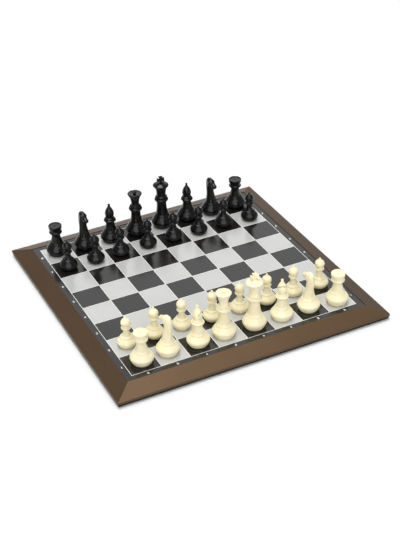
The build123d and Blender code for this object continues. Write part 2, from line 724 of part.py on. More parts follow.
# One magnet and one steel weight close the hollow of every piece.
MAGNET_RADIUS = 7.0
MAGNET_HEIGHT = 3.0
WEIGHT_RADIUS = 8.0
WEIGHT_HEIGHT = 5.5
PAWN_INSIDE = 0.72  # a pawn's hollow, magnet and weight, relative to the other pieces


def ball_arc(start, end):
    """The middle point of an arc from start to end whose centre is on the axis."""
    centre = (end[0] ** 2 + end[1] ** 2 - start[0] ** 2 - start[1] ** 2) / (2 * (end[1] - start[1]))
    radius = hypot(start[0], start[1] - centre)
    angle = (atan2(start[1] - centre, start[0]) + atan2(end[1] - centre, end[0])) / 2
    return (radius * cos(angle), centre + radius * sin(angle))


def add_turned(plane, axis, outline):
    """Revolve a turned outline, closed along the piece's own axis."""
    with BuildSketch(plane) as profile:
        with BuildLine():
            last = (0, outline[0][1])
            for radius, height, bulge in outline:
                if bulge == BALL:
                    ThreePointArc(last, ball_arc(last, (radius, height)), (radius, height))
                elif bulge:
                    SagittaArc(last, (radius, height), -bulge)
                else:
                    Line(last, (radius, height))
                last = (radius, height)
            Line(last, (0, outline[0][1]))
        make_face()
    revolve(profile.sketch, axis=axis)


def cut_hollow(plane, axis, floor, scale):
    """The hollow under a piece: straight where the weight sits, then a cone up into the stem."""
    with BuildSketch(plane) as profile:
        with BuildLine():
            Polyline(
                (0, floor),
                (9.5 * scale, floor),
                (9.5 * scale, floor + 8.8 * scale),
                (5.0 * scale, floor + 14.5 * scale),
                (2.6, floor + 17.5 * scale),
                (0, floor + 17.5 * scale),
                close=True,
            )
        make_face()
    revolve(profile.sketch, axis=axis, mode=Mode.SUBTRACT)


def add_knight_head(plane, facing):
    """The carved head: its side view, cut to the thickness that its front view gives."""
    side = Plane(origin=plane.origin, x_dir=(0, facing, 0), z_dir=(facing, 0, 0))
    with BuildSketch(side) as side_view:
        with BuildLine():
            front = Spline(KNIGHT_NECK[1], *KNIGHT_CHEST)
            jaw = Spline(front @ 1, *KNIGHT_JAW)
            face = Spline(jaw @ 1, *KNIGHT_FACE)
            ear = Polyline(face @ 1, *KNIGHT_EAR)
            mane = Spline(ear @ 1, *KNIGHT_MANE, KNIGHT_NECK[0])
            Line(mane @ 1, KNIGHT_NECK[1])
        make_face()
    extrude(side_view.sketch, amount=KNIGHT_REACH, both=True)
    with BuildSketch(plane) as front_view:
        with BuildLine():
            right = [(half, height) for half, height in KNIGHT_WIDTHS]
            left = [(-half, height) for half, height in reversed(KNIGHT_WIDTHS)]
            Polyline(*right, *left, close=True)
        make_face()
    extrude(front_view.sketch, amount=2 * KNIGHT_REACH, both=True, mode=Mode.INTERSECT)


def add_cross(x, y, turn):
    """The king's cross, four flared arms about one centre."""
    along = Vector(cos(radians(turn)), sin(radians(turn)), 0)
    upright = Plane(origin=(x, y, SURFACE_Z + CROSS_Z), x_dir=along, z_dir=along.cross(Vector(0, 0, 1)))
    with BuildSketch(upright) as cross:
        with PolarLocations(0, 4):
            Trapezoid(CROSS_ARM_WIDTH, CROSS_ARM, CROSS_TAPER, align=(Align.CENTER, Align.MAX))
    extrude(cross.sketch, amount=CROSS_THICKNESS / 2, both=True)


def cut_scallops(x, y):
    """Hollows around the rim of the queen's coronet."""
    with Locations((x, y, SURFACE_Z + SCALLOP_Z)):
        with PolarLocations(SCALLOP_CIRCLE, SCALLOPS):
            Sphere(SCALLOP_RADIUS, mode=Mode.SUBTRACT)


def cut_slit(x, y, turn):
    """The sloping cut in a bishop's mitre, open on the side that turn points to."""
    along = Vector(cos(radians(turn)), sin(radians(turn)), 0)
    upright = Plane(origin=(x, y, SURFACE_Z), x_dir=along, z_dir=along.cross(Vector(0, 0, 1)))
    with BuildSketch(upright) as slot:
        with BuildLine():
            Polyline(*SLIT, close=True)
        make_face()
    extrude(slot.sketch, amount=2 * MAGNET_RADIUS, both=True, mode=Mode.SUBTRACT)


def turned_solid(plane, axis, outline):
    """A small turned piece of its own."""
    with BuildPart() as made:
        add_turned(plane, axis, outline)
    return made.part


def chessman(name, file, rank, outline, facing=1, turn=0.0):
    """One chessman on its square: body, base cap, magnet and weight."""
    kind = name.split("_")[1]
    nudge_x, nudge_y = NUDGES.get(name, (0.0, 0.0))
    x = (file - (SQUARES - 1) / 2) * SQUARE + nudge_x
    y = (rank - (SQUARES - 1) / 2) * SQUARE + nudge_y
    plane = Plane(origin=(x, y, SURFACE_Z), x_dir=(1, 0, 0), z_dir=(0, -1, 0))
    axis = Axis((x, y, 0), (0, 0, 1))
    scale = PAWN_INSIDE if kind == "pawn" else 1.0
    foot = outline[0][0] - CAP_STEP
    cap_height = outline[0][1]
    magnet_radius = MAGNET_RADIUS * scale
    magnet_top = cap_height + MAGNET_HEIGHT * scale
    weight_radius = WEIGHT_RADIUS * scale
    weight_top = magnet_top + WEIGHT_HEIGHT * scale
    with BuildPart() as body:
        if kind == "knight":
            add_knight_head(plane, facing)
        add_turned(plane, axis, outline)
        if kind == "king":
            add_cross(x, y, turn)
        if kind == "queen":
            cut_scallops(x, y)
        if kind == "bishop":
            cut_slit(x, y, turn)
        cut_hollow(plane, axis, cap_height, scale)
    cap = turned_solid(
        plane,
        axis,
        (
            (foot - 0.4, 0, 0),
            (foot, 0.5, 0.1),
            (foot, cap_height - GROOVE, 0),
            (foot - GROOVE, cap_height, 0),
            (0, cap_height, 0),
        ),
    )
    magnet = turned_solid(
        plane,
        axis,
        ((magnet_radius, cap_height, 0), (magnet_radius, magnet_top, 0), (0, magnet_top, 0)),
    )
    weight = turned_solid(
        plane,
        axis,
        ((weight_radius, magnet_top, 0), (weight_radius, weight_top, 0), (0, weight_top, 0)),
    )
    piece = Compound([body.part.solid(), cap.solid(), magnet.solid(), weight.solid()])
    piece.label = name
    export_step(piece, f"parts/{name}.step")


BACK_RANK = (
    ("rook_a", ROOK_OUTLINE),
    ("knight_b", KNIGHT_OUTLINE),
    ("bishop_c", BISHOP_OUTLINE),
    ("queen", QUEEN_OUTLINE),
    ("king", KING_OUTLINE),
    ("bishop_f", BISHOP_OUTLINE),
    ("knight_g", KNIGHT_OUTLINE),
    ("rook_h", ROOK_OUTLINE),
)

for colour, rank, pawn_rank, facing in (("white", 0, 1, 1), ("black", 7, 6, -1)):
    for file, (kind, outline) in enumerate(BACK_RANK):
        name = f"{colour}_{kind}"
        chessman(name, file, rank, outline, facing, TURNS.get(name, 0.0))
        chessman(f"{colour}_pawn_{'abcdefgh'[file]}", file, pawn_rank, PAWN_OUTLINE)
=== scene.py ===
"""Looks of the electronic chess computer: finishes for the board and finely turned chessmen.

Blender units are metres. Chessman outlines are written in millimetres above the playing surface,
as a radius, a height and the outward bulge of the stretch that leads there.
"""

import json
from math import atan2, cos, hypot, pi, radians, sin, tau

import bmesh
import bpy
import numpy as np
from mathutils import Matrix, Vector

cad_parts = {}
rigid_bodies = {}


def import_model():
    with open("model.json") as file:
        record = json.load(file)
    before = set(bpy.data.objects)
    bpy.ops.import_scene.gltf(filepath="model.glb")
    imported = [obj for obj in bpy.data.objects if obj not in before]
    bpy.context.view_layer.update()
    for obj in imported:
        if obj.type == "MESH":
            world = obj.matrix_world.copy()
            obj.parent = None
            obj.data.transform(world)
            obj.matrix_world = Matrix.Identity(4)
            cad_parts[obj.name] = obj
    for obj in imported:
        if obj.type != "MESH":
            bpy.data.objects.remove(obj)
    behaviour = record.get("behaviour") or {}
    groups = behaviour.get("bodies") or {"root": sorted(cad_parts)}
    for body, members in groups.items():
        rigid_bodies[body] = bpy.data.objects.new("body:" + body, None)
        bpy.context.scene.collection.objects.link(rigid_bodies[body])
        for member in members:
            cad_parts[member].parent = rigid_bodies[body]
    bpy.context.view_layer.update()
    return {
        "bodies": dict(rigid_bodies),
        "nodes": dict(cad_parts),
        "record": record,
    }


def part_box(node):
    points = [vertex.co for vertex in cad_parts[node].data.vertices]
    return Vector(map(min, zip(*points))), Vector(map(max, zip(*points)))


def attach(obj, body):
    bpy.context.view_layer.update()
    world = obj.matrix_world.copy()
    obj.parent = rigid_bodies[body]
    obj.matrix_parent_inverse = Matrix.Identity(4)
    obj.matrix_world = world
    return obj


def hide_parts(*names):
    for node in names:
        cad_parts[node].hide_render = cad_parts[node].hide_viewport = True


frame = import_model()

MM = 0.001
scene = bpy.context.scene

# --- places taken from the frame --------------------------------------------------------------
LINE_WIDTH = 0.7 * MM  # of the bright lines round the squares, as in the CAD
SQUARES = 8
FILES = "abcdefgh"
foil_low, foil_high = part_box("silver_squares")
panel_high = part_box("playing_panel")[1]
SURFACE_Z = foil_high.z
GRID = foil_high.x - foil_low.x - LINE_WIDTH
SQUARE = GRID / SQUARES
PRINT_HEIGHT = 0.03 * MM  # how far the printed characters stand above the squares
LINE_HEIGHT = PRINT_HEIGHT / 3
PRINT_EDGE = 0.02 * MM  # softened edge of a printed square


# --- mesh helpers -----------------------------------------------------------------------------
def add_object(name, mesh, material, sharp=None):
    """Link a mesh into the scene with one material and smooth shading."""
    thing = bpy.data.objects.new(name, mesh)
    scene.collection.objects.link(thing)
    mesh.materials.append(material)
    mesh.polygons.foreach_set("use_smooth", [True] * len(mesh.polygons))
    if sharp is not None:
        mesh.set_sharp_from_angle(angle=radians(sharp))
    return thing


def mesh_from(name, points, faces):
    """A mesh with the given points and faces."""
    mesh = bpy.data.meshes.new(name)
    mesh.from_pydata([tuple(p) for p in points], [], faces)
    mesh.update()
    return mesh


def applied(thing):
    """The object's mesh with its modifiers applied. The object itself is removed."""
    bpy.context.view_layer.update()
    graph = bpy.context.evaluated_depsgraph_get()
    mesh = bpy.data.meshes.new_from_object(thing.evaluated_get(graph), depsgraph=graph)
    bpy.data.objects.remove(thing)
    return mesh


def applied_curve(data):
    """The mesh of a curve or a text."""
    thing = bpy.data.objects.new("outline", data)
    scene.collection.objects.link(thing)
    return applied(thing)


def mesh_arrays(mesh):
    """A mesh as points and faces."""
    points = np.zeros(len(mesh.vertices) * 3)
    mesh.vertices.foreach_get("co", points)
    return points.reshape(-1, 3), [tuple(face.vertices) for face in mesh.polygons]


def joined(parts):
    """Several (points, faces) pairs as one pair."""
    points, faces, start = [], [], 0
    for part_points, part_faces in parts:
        points.append(np.asarray(part_points, float))
        faces += [tuple(i + start for i in face) for face in part_faces]
        start += len(part_points)
    return np.vstack(points), faces


def rings_to_mesh(rings):
    """Points and faces of a closed skin over rings of equal length, with a fan at each end."""
    count = len(rings[0])
    points = np.vstack([np.asarray(ring, float) for ring in rings])
    first, last = points[:count].mean(0), points[-count:].mean(0)
    faces = []
    for row in range(len(rings) - 1):
        for i in range(count):
            j = (i + 1) % count
            low, high = row * count, (row + 1) * count
            faces.append((low + i, low + j, high + j, high + i))
    bottom, top = len(points), len(points) + 1
    end = (len(rings) - 1) * count
    for i in range(count):
        j = (i + 1) % count
        faces.append((bottom, j, i))
        faces.append((top, end + i, end + j))
    return np.vstack([points, [first, last]]), faces


# --- materials --------------------------------------------------------------------------------
class Finish:
    """A principled material whose colour, roughness and relief vary with fine procedural noise."""

    def __init__(self, name, metallic=0.0, coat=0.0, coat_roughness=0.1, subsurface=0.0, specular=0.5):
        self.material = bpy.data.materials.new(name)
        self.material.use_nodes = True
        self.nodes = self.material.node_tree.nodes
        self.links = self.material.node_tree.links
        self.shader = self.nodes["Principled BSDF"]
        self.shader.inputs["Metallic"].default_value = metallic
        self.shader.inputs["IOR"].default_value = 1.5
        self.shader.inputs["Coat Weight"].default_value = coat
        self.shader.inputs["Coat Roughness"].default_value = coat_roughness
        self.shader.inputs["Subsurface Weight"].default_value = subsurface
        self.shader.inputs["Subsurface Scale"].default_value = 2 * MM
        self.shader.inputs["Subsurface Radius"].default_value = (1.0, 0.8, 0.5)
        self.shader.inputs["Specular IOR Level"].default_value = specular
        self.place = self.nodes.new("ShaderNodeTexCoord").outputs["Object"]

    def noise(self, size, detail=3.0, stretch=(1, 1, 1)):
        """A noise field whose features are about size metres across."""
        mapping = self.nodes.new("ShaderNodeMapping")
        mapping.inputs["Scale"].default_value = stretch
        self.links.new(self.place, mapping.inputs["Vector"])
        field = self.nodes.new("ShaderNodeTexNoise")
        field.inputs["Scale"].default_value = 1 / size
        field.inputs["Detail"].default_value = detail
        self.links.new(mapping.outputs["Vector"], field.inputs["Vector"])
        return field.outputs["Fac"]

    def ramp(self, field, stops):
        """Colours along a field, as (position, colour) stops."""
        node = self.nodes.new("ShaderNodeValToRGB")
        marks = node.color_ramp.elements
        while len(marks) < len(stops):
            marks.new(0.5)
        for mark, (position, colour) in zip(marks, stops):
            mark.position = position
            mark.color = (*colour, 1)
        self.links.new(field, node.inputs["Fac"])
        return node.outputs["Color"]

    def remap(self, field, low, high, start=0.3, end=0.7):
        """Stretch a field from its start and end values to low and high."""
        node = self.nodes.new("ShaderNodeMapRange")
        for socket, value in (("From Min", start), ("From Max", end), ("To Min", low), ("To Max", high)):
            node.inputs[socket].default_value = value
        self.links.new(field, node.inputs["Value"])
        return node.outputs["Result"]

    def multiply(self, first, second):
        """Two colour outputs multiplied together."""
        node = self.nodes.new("ShaderNodeMix")
        node.data_type = "RGBA"
        node.blend_type = "MULTIPLY"
        factor, first_socket, second_socket = node.inputs[0], node.inputs[6], node.inputs[7]
        factor.default_value = 1.0
        self.links.new(first, first_socket)
        self.links.new(second, second_socket)
        return node.outputs[2]

    def colour(self, field, first, second, start=0.35, end=0.65):
        """Mottle the base colour between two close shades."""
        self.paint(self.ramp(field, ((start, first), (end, second))))

    def paint(self, output):
        """Take the base colour from a node's output."""
        self.links.new(output, self.shader.inputs["Base Color"])

    def rough(self, field, low, high):
        """Vary the roughness between two values."""
        self.links.new(self.remap(field, low, high), self.shader.inputs["Roughness"])

    def relief(self, field, depth, strength=0.5):
        """Raise the surface where the field is high."""
        node = self.nodes.new("ShaderNodeBump")
        node.inputs["Strength"].default_value = strength
        node.inputs["Distance"].default_value = depth
        self.links.new(field, node.inputs["Height"])
        self.links.new(node.outputs["Normal"], self.shader.inputs["Normal"])


def bronze_paint():
    """Satin bronze metallic lacquer with fine flake and a little orange peel."""
    finish = Finish("bronze_lacquer", metallic=0.85, coat=0.15, coat_roughness=0.3)
    flake = finish.noise(0.35 * MM, detail=2)
    cloud = finish.noise(60 * MM, detail=3)
    base = finish.ramp(cloud, ((0.3, (0.112, 0.066, 0.034)), (0.7, (0.124, 0.074, 0.039))))
    sparkle = finish.ramp(flake, ((0.35, (0.86, 0.86, 0.86)), (0.65, (1.0, 1.0, 1.0))))
    finish.paint(finish.multiply(base, sparkle))
    finish.rough(finish.noise(1.2 * MM), 0.40, 0.50)
    finish.relief(finish.noise(0.8 * MM, detail=2), 0.01 * MM)
    return finish.material


def gloss_panel():
    """Glossy black printed sheet, very slightly wavy."""
    finish = Finish("gloss_black_sheet")
    finish.colour(finish.noise(25 * MM), (0.0080, 0.0068, 0.0064), (0.0100, 0.0086, 0.0080))
    finish.rough(finish.noise(9 * MM), 0.15, 0.20)
    finish.relief(finish.noise(2.5 * MM, detail=2), 0.004 * MM, 0.3)
    return finish.material


def silver_ink():
    """Silver ink under the sheet's gloss, with a fine metallic grain."""
    finish = Finish("silver_ink", metallic=0.12)
    grain = finish.noise(0.3 * MM, detail=2)
    cloud = finish.noise(30 * MM)
    base = finish.ramp(cloud, ((0.3, (0.52, 0.52, 0.51)), (0.7, (0.55, 0.55, 0.54))))
    speck = finish.ramp(grain, ((0.3, (0.93, 0.93, 0.93)), (0.7, (1, 1, 1))))
    finish.paint(finish.multiply(base, speck))
    finish.rough(finish.noise(9 * MM), 0.16, 0.24)
    finish.relief(finish.noise(2.5 * MM, detail=2), 0.004 * MM, 0.3)
    return finish.material


def bright_ink(name, shade):
    """White or bright silver ink of thin lines and characters."""
    finish = Finish(name)
    finish.colour(finish.noise(0.4 * MM, detail=2), tuple(c * 0.94 for c in shade), shade)
    finish.rough(finish.noise(2 * MM), 0.25, 0.35)
    return finish.material


def moulded(name, dark, light, roughness, cloud=12, subsurface=0.0, coat=0.0, specular=0.5):
    """Moulded plastic: a faint mottle, fine grain and a satin surface."""
    finish = Finish(name, subsurface=subsurface, coat=coat, specular=specular)
    finish.colour(finish.noise(cloud * MM), dark, light)
    finish.rough(finish.noise(3 * MM), roughness - 0.05, roughness + 0.05)
    finish.relief(finish.noise(0.25 * MM, detail=2), 0.01 * MM, 0.35)
    return finish.material


def spark_eroded(name, dark, light, roughness):
    """Plastic from a textured mould: pebbled all over."""
    finish = Finish(name, specular=0.25)
    pebble = finish.nodes.new("ShaderNodeTexVoronoi")
    pebble.inputs["Scale"].default_value = 1 / (0.7 * MM)
    finish.links.new(finish.place, pebble.inputs["Vector"])
    finish.colour(finish.noise(20 * MM), dark, light)
    finish.rough(finish.noise(1.5 * MM), roughness - 0.06, roughness + 0.06)
    finish.relief(pebble.outputs["Distance"], 0.04 * MM, 0.6)
    return finish.material


def circuit_laminate():
    """Green solder mask over copper tracks."""
    finish = Finish("circuit_laminate")
    tracks = finish.nodes.new("ShaderNodeTexBrick")
    tracks.inputs["Scale"].default_value = 1 / (6 * MM)
    tracks.inputs["Mortar Size"].default_value = 0.03
    tracks.inputs["Color1"].default_value = (0.012, 0.085, 0.035, 1)
    tracks.inputs["Color2"].default_value = (0.010, 0.075, 0.030, 1)
    tracks.inputs["Mortar"].default_value = (0.05, 0.19, 0.07, 1)
    finish.links.new(finish.place, tracks.inputs["Vector"])
    shade = finish.ramp(finish.noise(8 * MM), ((0.3, (0.85, 0.85, 0.85)), (0.7, (1, 1, 1))))
    finish.paint(finish.multiply(tracks.outputs["Color"], shade))
    finish.rough(finish.noise(3 * MM), 0.3, 0.4)
    finish.relief(tracks.outputs["Fac"], -0.03 * MM)
    return finish.material


WAVE_PITCH = 0.314  # metres from band to band of a wave texture at a scale of one


def banded(name, first, second, pitch, roughness):
    """A material with fine bands: a flat cable's cores or the ribs of a wrapper."""
    finish = Finish(name)
    waves = finish.nodes.new("ShaderNodeTexWave")
    waves.bands_direction = "X"
    waves.inputs["Scale"].default_value = WAVE_PITCH / pitch
    finish.links.new(finish.place, waves.inputs["Vector"])
    finish.paint(finish.ramp(waves.outputs["Fac"], ((0.3, first), (0.7, second))))
    finish.rough(finish.noise(4 * MM), roughness - 0.05, roughness + 0.05)
    finish.relief(waves.outputs["Fac"], 0.05 * MM)
    return finish.material


def turned_steel():
    """Bright plated steel with a brushed grain."""
    finish = Finish("plated_steel", metallic=1.0)
    finish.colour(finish.noise(0.8 * MM), (0.48, 0.48, 0.47), (0.60, 0.60, 0.59))
    finish.rough(finish.noise(0.5 * MM, stretch=(1, 1, 6)), 0.28, 0.42)
    finish.relief(finish.noise(0.3 * MM, stretch=(1, 1, 6)), 0.01 * MM)
    return finish.material


FINISHES = {
    "bronze_frame": bronze_paint(),
    "panel_black": gloss_panel(),
    "silver_print": silver_ink(),
    "mark_white": bright_ink("character_ink", (0.86, 0.86, 0.85)),
    "housing_black": spark_eroded("housing_plastic", (0.008, 0.0065, 0.005), (0.012, 0.0098, 0.0078), 0.5),
    "foot_rubber": spark_eroded("foot_rubber", (0.012, 0.012, 0.012), (0.02, 0.02, 0.02), 0.8),
    "cream_men": moulded("cream_plastic", (0.90, 0.82, 0.55), (0.93, 0.855, 0.59), 0.40, subsurface=0.12),
    "black_men": moulded(
        "black_plastic", (0.002, 0.0019, 0.0018), (0.003, 0.0028, 0.0026), 0.20, specular=0.35
    ),
    "circuit_board": circuit_laminate(),
    "sensor_glass": moulded("sensor_glass", (0.10, 0.16, 0.13), (0.14, 0.21, 0.17), 0.12, coat=0.5),
    "chip_black": moulded("chip_epoxy", (0.012, 0.012, 0.013), (0.02, 0.02, 0.021), 0.6, cloud=3),
    "connector_cream": moulded("connector_nylon", (0.62, 0.58, 0.46), (0.68, 0.64, 0.52), 0.5, cloud=5),
    "cable_grey": banded("ribbon_cable", (0.22, 0.22, 0.23), (0.36, 0.36, 0.37), 1.27 * MM, 0.45),
    "battery_wrap": banded("battery_sleeve", (0.02, 0.07, 0.22), (0.025, 0.085, 0.26), 14 * MM, 0.35),
    "button_black": moulded("button_plastic", (0.010, 0.010, 0.010), (0.016, 0.016, 0.016), 0.42),
    "steel": turned_steel(),
}

# every CAD node takes the finish of its own material slot
for subpart in frame["record"]["subparts"]:
    node = frame["nodes"][subpart["node"]]
    node.data.materials.clear()
    node.data.materials.append(FINISHES[subpart["material_slot"]])


# --- printed layer ----------------------------------------------------------------------------
def slab(x0, y0, x1, y1, low, high, edge=0.0):
    """A thin flat plate with its upper edges taken off."""
    ring = ((x0, y0), (x1, y0), (x1, y1), (x0, y1))
    inner = ((x0 + edge, y0 + edge), (x1 - edge, y0 + edge), (x1 - edge, y1 - edge), (x0 + edge, y1 - edge))
    shoulder = high - edge
    points = [(x, y, low) for x, y in ring]
    points += [(x, y, shoulder) for x, y in ring]
    points += [(x, y, high) for x, y in inner]
    faces = [(3, 2, 1, 0), (8, 9, 10, 11)]
    for level in (0, 4):
        for i in range(4):
            j = (i + 1) % 4
            faces.append((level + i, level + j, level + 4 + j, level + 4 + i))
    return points, faces


def printed_squares():
    """The light squares, set inside the lines that surround them."""
    inset = LINE_WIDTH / 2
    parts = []
    for file in range(SQUARES):
        for rank in range(SQUARES):
            if (file + rank) % 2:
                x = -GRID / 2 + file * SQUARE
                y = -GRID / 2 + rank * SQUARE
                corners = (x + inset, y + inset, x + SQUARE - inset, y + SQUARE - inset)
                parts.append(slab(*corners, foil_low.z, SURFACE_Z, PRINT_EDGE))
    return joined(parts)


def printed_lines():
    """Bright lines along every edge of every square."""
    half = LINE_WIDTH / 2
    top = SURFACE_Z + LINE_HEIGHT
    edges = [-GRID / 2 + i * SQUARE for i in range(SQUARES + 1)]
    parts = []
    for x in edges:
        parts.append(slab(x - half, edges[0] - half, x + half, edges[-1] + half, foil_low.z, top))
    for y in edges:
        for start, end in zip(edges, edges[1:]):
            parts.append(slab(start + half, y - half, end - half, y + half, foil_low.z, top))
    return joined(parts)


squares_mesh = mesh_from("light_squares", *printed_squares())
squares = add_object("light_squares", squares_mesh, FINISHES["silver_print"], sharp=20)
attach(squares, "board")
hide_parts("silver_squares")

line_ink = bright_ink("line_ink", (0.90, 0.90, 0.89))
lines_mesh = mesh_from("square_lines", *printed_lines())
lines = add_object("square_lines", lines_mesh, line_ink, sharp=20)
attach(lines, "board")

GLYPH_HEIGHT = 6.4 * MM
GLYPH_WEIGHT = 0.12 * MM  # how far the strokes are thickened
GLYPH_LINE = (GRID / 2 + LINE_WIDTH / 2 + panel_high.x) / 2  # middle of the dark border


def glyph(character, x, y, turned):
    """One printed coordinate character, centred on a point of the border."""
    text = bpy.data.curves.new("glyph", "FONT")
    text.body = character
    text.size = GLYPH_HEIGHT
    text.align_x = "CENTER"
    text.extrude = PRINT_HEIGHT / 2
    text.offset = GLYPH_WEIGHT
    text.resolution_u = 6
    points, faces = mesh_arrays(applied_curve(text))
    points -= (points.max(0) + points.min(0)) / 2
    if turned:
        points[:, :2] *= -1
    return points + (x, y, SURFACE_Z + PRINT_HEIGHT / 2), faces


def coordinates():
    """The files along the front and back of the border, and the ranks along its sides."""
    parts = []
    for i in range(SQUARES):
        middle = -GRID / 2 + (i + 0.5) * SQUARE
        parts.append(glyph(FILES[i], middle, -GLYPH_LINE, False))
        parts.append(glyph(FILES[i], middle, GLYPH_LINE, True))
        parts.append(glyph(str(i + 1), -GLYPH_LINE, middle, False))
        parts.append(glyph(str(i + 1), GLYPH_LINE, middle, False))
    return joined(parts)


marks_mesh = mesh_from("coordinate_marks", *coordinates())
marks = add_object("coordinate_marks", marks_mesh, FINISHES["mark_white"], sharp=30)
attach(marks, "board")


# --- turned chessmen --------------------------------------------------------------------------
BALL = "ball"  # in place of a bulge: a stretch of a ball centred on the axis
FOOT_STEP = 1.6  # how far the base cap narrows towards its foot
FOOT_EDGE = 0.5  # size of the softened edge at the foot
RING_INSET = 2.8  # from the foot's edge to the inside of the ring that the man stands on
RECESS_INSET = 3.4  # from the foot's edge to the flat middle of the underside
RECESS_HEIGHT = 0.6

KING_OUTLINE = (
    (16.2, 4.9, 0.3),
    (15.5, 5.5, 0),
    (16.7, 6.0, 0),
    (18.0, 9.0, 0.5),
    (16.6, 13.4, 0.5),
    (12.4, 19.8, 0.2),
    (11.7, 20.3, 0),
    (11.8, 21.8, 0.4),
    (10.6, 23.4, 0.2),
    (10.0, 25.0, -0.2),
    (7.9, 42.0, -0.5),
    (8.3, 45.6, 0),
    (10.5, 48.6, -0.4),
    (10.5, 52.4, 0.9),
    (8.8, 53.4, 0),
    (9.5, 56.4, 0.7),
    (7.8, 57.8, 0),
    (7.9, 63.0, -0.3),
    (12.5, 75.6, -1.2),
    (12.5, 77.4, 0.5),
    (11.2, 78.2, 0.1),
    (3.4, 81.2, 0.2),
    (0, 81.6, 0),
)
QUEEN_OUTLINE = (
    (15.9, 4.8, 0.3),
    (15.2, 5.4, 0),
    (16.4, 5.9, 0),
    (17.7, 8.8, 0.5),
    (16.3, 12.8, 0.5),
    (12.2, 18.8, 0.2),
    (11.5, 19.3, 0),
    (11.6, 20.8, 0.4),
    (10.4, 22.4, 0.2),
    (9.8, 24.0, -0.2),
    (7.8, 39.0, -0.5),
    (8.0, 42.6, 0),
    (10.2, 45.4, -0.4),
    (10.2, 48.8, 0.8),
    (8.5, 49.8, 0),
    (9.1, 52.4, 0.6),
    (7.2, 53.6, 0),
    (6.5, 59.0, -0.3),
    (11.4, 73.2, -0.8),
    (11.4, 74.9, 0.3),
    (9.9, 75.3, 0),
    (1.7, 74.5, -0.3),
    (0, 79.0, BALL),
)
BISHOP_OUTLINE = (
    (15.4, 4.6, 0.3),
    (14.7, 5.2, 0),
    (15.9, 5.7, 0),
    (17.1, 8.4, 0.5),
    (15.7, 12.2, 0.5),
    (11.6, 17.6, 0.2),
    (10.9, 18.1, 0),
    (11.0, 19.6, 0.4),
    (9.8, 21.0, 0.2),
    (9.2, 22.4, -0.2),
    (6.7, 32.6, -0.3),
    (7.1, 34.8, 0),
    (9.1, 36.8, -0.3),
    (9.1, 39.8, 0.8),
    (7.5, 40.6, 0),
    (7.8, 42.6, 0.5),
    (6.0, 43.6, 0),
    (5.8, 44.6, 0),
    (7.4, 51.0, 0.5),
    (4.9, 58.6, 0.4),
    (1.6, 64.6, -0.2),
    (0, 68.0, BALL),
)
ROOK_OUTLINE = (
    (15.6, 4.7, 0.3),
    (14.9, 5.3, 0),
    (16.1, 5.8, 0),
    (17.4, 8.6, 0.5),
    (15.9, 12.6, 0.5),
    (11.6, 18.4, 0.2),
    (10.9, 18.9, 0),
    (11.0, 20.4, 0.4),
    (9.8, 21.8, 0.2),
    (9.3, 23.2, -0.2),
    (6.7, 33.5, -0.3),
    (6.9, 35.4, 0),
    (9.9, 38.8, -0.4),
    (9.9, 41.4, 0.5),
    (9.0, 42.2, 0),
    (9.0, 45.2, 0),
    (10.4, 47.0, -0.2),
    (10.6, 51.5, 0),
    (10.1, 52.0, 0.1),
    (9.1, 52.0, 0),
    (8.8, 50.9, 0),
    (1.4, 50.9, 0),
    (1.2, 49.2, 0),
    (0, 49.0, 0),
)
PAWN_OUTLINE = (
    (13.1, 3.7, 0.2),
    (12.5, 4.2, 0),
    (13.5, 4.6, 0),
    (14.4, 6.8, 0.4),
    (13.2, 10.4, 0.4),
    (9.8, 14.4, 0.2),
    (9.3, 14.8, 0),
    (9.4, 15.9, 0.3),
    (7.9, 17.2, 0.2),
    (6.8, 18.6, -0.3),
    (4.4, 26.5, -0.7),
    (4.6, 28.2, 0),
    (6.7, 29.8, -0.2),
    (6.7, 31.8, 0.5),
    (5.0, 32.6, 0),
    (4.6, 33.68, 0),
    (2.9, 46.21, BALL),
    (1.7, 48.2, -0.2),
    (0, 50.2, BALL),
)
KNIGHT_OUTLINE = (
    (15.5, 4.7, 0.3),
    (14.8, 5.3, 0),
    (16.0, 5.8, 0),
    (17.3, 8.6, 0.5),
    (15.8, 12.6, 0.5),
    (11.8, 18.2, 0.2),
    (11.1, 18.7, 0),
    (11.2, 20.2, 0.4),
    (10.4, 21.4, 0.1),
    (10.1, 22.0, 0),
    (0, 22.4, 0),
)

STEP = 0.12  # spacing of points along an outline before it is smoothed
ROUNDING = 0.15  # how far smoothing reaches round each corner
TURN_LIMIT = radians(7)  # most that a kept point may turn the outline
SPAN_LIMIT = 3.0  # longest step between two kept points
SEGMENTS = 72  # round a turned shape


def arc(start, end, centre):
    """Points along the shorter arc about a centre."""
    first = atan2(start[1] - centre[1], start[0] - centre[0])
    sweep = (atan2(end[1] - centre[1], end[0] - centre[0]) - first + pi) % tau - pi
    radius = hypot(start[0] - centre[0], start[1] - centre[1])
    count = max(2, int(abs(sweep) * radius / STEP))
    angles = [first + sweep * i / count for i in range(1, count + 1)]
    return [(centre[0] + radius * cos(a), centre[1] + radius * sin(a)) for a in angles]


def stretch(start, end, bulge):
    """Points from the end of one stretch of an outline to the end of the next."""
    if bulge == BALL:
        span = end[0] ** 2 + end[1] ** 2 - start[0] ** 2 - start[1] ** 2
        return arc(start, end, (0, span / (2 * (end[1] - start[1]))))
    dx, dy = end[0] - start[0], end[1] - start[1]
    length = hypot(dx, dy)
    if bulge:
        offset = (length**2 / 4 - bulge**2) / (2 * bulge)
        middle = ((start[0] + end[0]) / 2, (start[1] + end[1]) / 2)
        return arc(start, end, (middle[0] - offset * dy / length, middle[1] + offset * dx / length))
    count = max(1, int(length / STEP))
    return [(start[0] + dx * i / count, start[1] + dy * i / count) for i in range(1, count + 1)]


